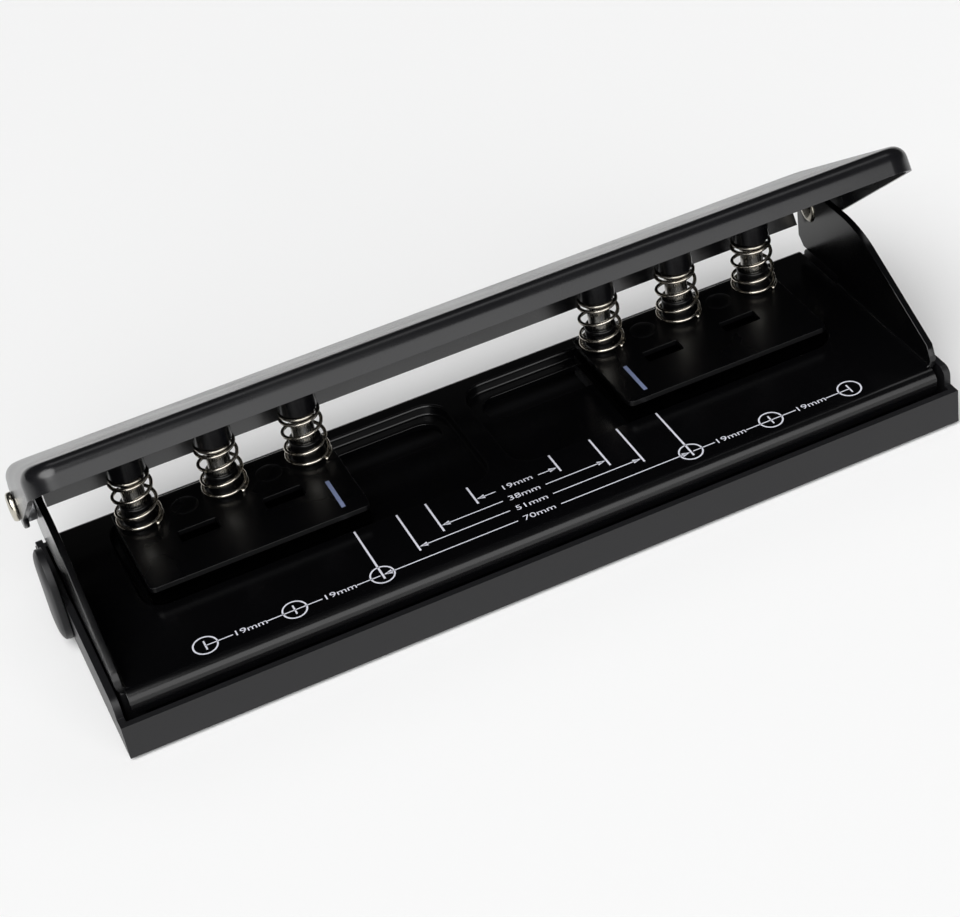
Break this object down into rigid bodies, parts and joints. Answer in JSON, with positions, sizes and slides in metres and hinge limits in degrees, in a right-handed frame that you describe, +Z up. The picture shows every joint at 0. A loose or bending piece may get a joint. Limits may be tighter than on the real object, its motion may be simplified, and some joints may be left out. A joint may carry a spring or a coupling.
{
  "type": "hole punch",
  "caption": "desktop hole punch with two sliding heads of sprung pins, a pressed steel table with side ears, a full-width press handle, a chip tray and a pull-out paper guide",
  "frame": {"origin": "the middle of the footprint, on the surface that the rubber feet stand on", "axes": "+X along the punch to the user's right, +Y from the front edge to the back, +Z up"},
  "size_m": [0.195, 0.0642, 0.0605],
  "materials": {
    "black_steel": "gloss black paint on pressed steel",
    "handle_steel": "gloss black paint on pressed steel",
    "head_steel": "gloss black paint on pressed steel",
    "cap": "gloss black moulded cap",
    "tray": "satin dark grey moulded plastic",
    "feet": "matt black rubber",
    "steel": "bare sheet steel",
    "tool_steel": "ground tool steel",
    "nickel": "nickel plated steel",
    "spring_wire": "nickel plated spring wire"
  },
  "bodies": {
    "base": {"chip_tray": "tray", "rubber_feet": "feet", "table_plate": "black_steel", "hinge_rivet_left": "nickel", "hinge_rivet_right": "nickel", "hinge_washer_left": "steel", "hinge_washer_right": "steel"},
    "press_handle": {"handle": "handle_steel"},
    "left_head": {"guide_bracket_left": "head_steel", "die_plate_left": "head_steel", "die_bushes_left": "tool_steel", "clamp_strip_left": "steel", "clamp_screws_left": "nickel", "return_spring_1": "spring_wire", "return_spring_2": "spring_wire", "return_spring_3": "spring_wire"},
    "right_head": {"guide_bracket_right": "head_steel", "die_plate_right": "head_steel", "die_bushes_right": "tool_steel", "clamp_strip_right": "steel", "clamp_screws_right": "nickel", "return_spring_4": "spring_wire", "return_spring_5": "spring_wire", "return_spring_6": "spring_wire"},
    "pin_1": {"punch_pin_1": "tool_steel", "pin_cap_1": "cap"},
    "pin_2": {"punch_pin_2": "tool_steel", "pin_cap_2": "cap"},
    "pin_3": {"punch_pin_3": "tool_steel", "pin_cap_3": "cap"},
    "pin_4": {"punch_pin_4": "tool_steel", "pin_cap_4": "cap"},
    "pin_5": {"punch_pin_5": "tool_steel", "pin_cap_5": "cap"},
    "pin_6": {"punch_pin_6": "tool_steel", "pin_cap_6": "cap"},
    "paper_guide": {"guide_rail": "tray", "guide_end_stop": "tray"}
  },
  "joints": [
    {"name": "handle_press", "type": "hinge", "parent": "base", "child": "press_handle", "pos_m": [0, 0.023, 0.0274], "axis": [1, 0, 0], "range_deg": [0, 37.5], "stiffness_Nm_per_rad": 0.3, "springref_deg": -28.65},
    {"name": "left_head_slide", "type": "slide", "parent": "base", "child": "left_head", "axis": [1, 0, 0], "range_m": [0, 0.0255]},
    {"name": "right_head_slide", "type": "slide", "parent": "base", "child": "right_head", "axis": [-1, 0, 0], "range_m": [0, 0.0255]},
    {"name": "pin_1_stroke", "type": "slide", "parent": "left_head", "child": "pin_1", "axis": [0, 0, -1], "range_m": [0, 0.0052], "deforming": ["return_spring_1"]},
    {"name": "pin_2_stroke", "type": "slide", "parent": "left_head", "child": "pin_2", "axis": [0, 0, -1], "range_m": [0, 0.0052], "deforming": ["return_spring_2"]},
    {"name": "pin_3_stroke", "type": "slide", "parent": "left_head", "child": "pin_3", "axis": [0, 0, -1], "range_m": [0, 0.0052], "deforming": ["return_spring_3"]},
    {"name": "pin_4_stroke", "type": "slide", "parent": "right_head", "child": "pin_4", "axis": [0, 0, -1], "range_m": [0, 0.0052], "deforming": ["return_spring_4"]},
    {"name": "pin_5_stroke", "type": "slide", "parent": "right_head", "child": "pin_5", "axis": [0, 0, -1], "range_m": [0, 0.0052], "deforming": ["return_spring_5"]},
    {"name": "pin_6_stroke", "type": "slide", "parent": "right_head", "child": "pin_6", "axis": [0, 0, -1], "range_m": [0, 0.0052], "deforming": ["return_spring_6"]},
    {"name": "paper_guide_slide", "type": "slide", "parent": "base", "child": "paper_guide", "axis": [-1, 0, 0], "range_m": [0, 0.06]}
  ],
  "couplings": [
    {"joint": "pin_1_stroke", "follows": "handle_press", "m_per_rad": 0.00779},
    {"joint": "pin_2_stroke", "follows": "handle_press", "m_per_rad": 0.00779},
    {"joint": "pin_3_stroke", "follows": "handle_press", "m_per_rad": 0.00779},
    {"joint": "pin_4_stroke", "follows": "handle_press", "m_per_rad": 0.00779},
    {"joint": "pin_5_stroke", "follows": "handle_press", "m_per_rad": 0.00779},
    {"joint": "pin_6_stroke", "follows": "handle_press", "m_per_rad": 0.00779}
  ]
}
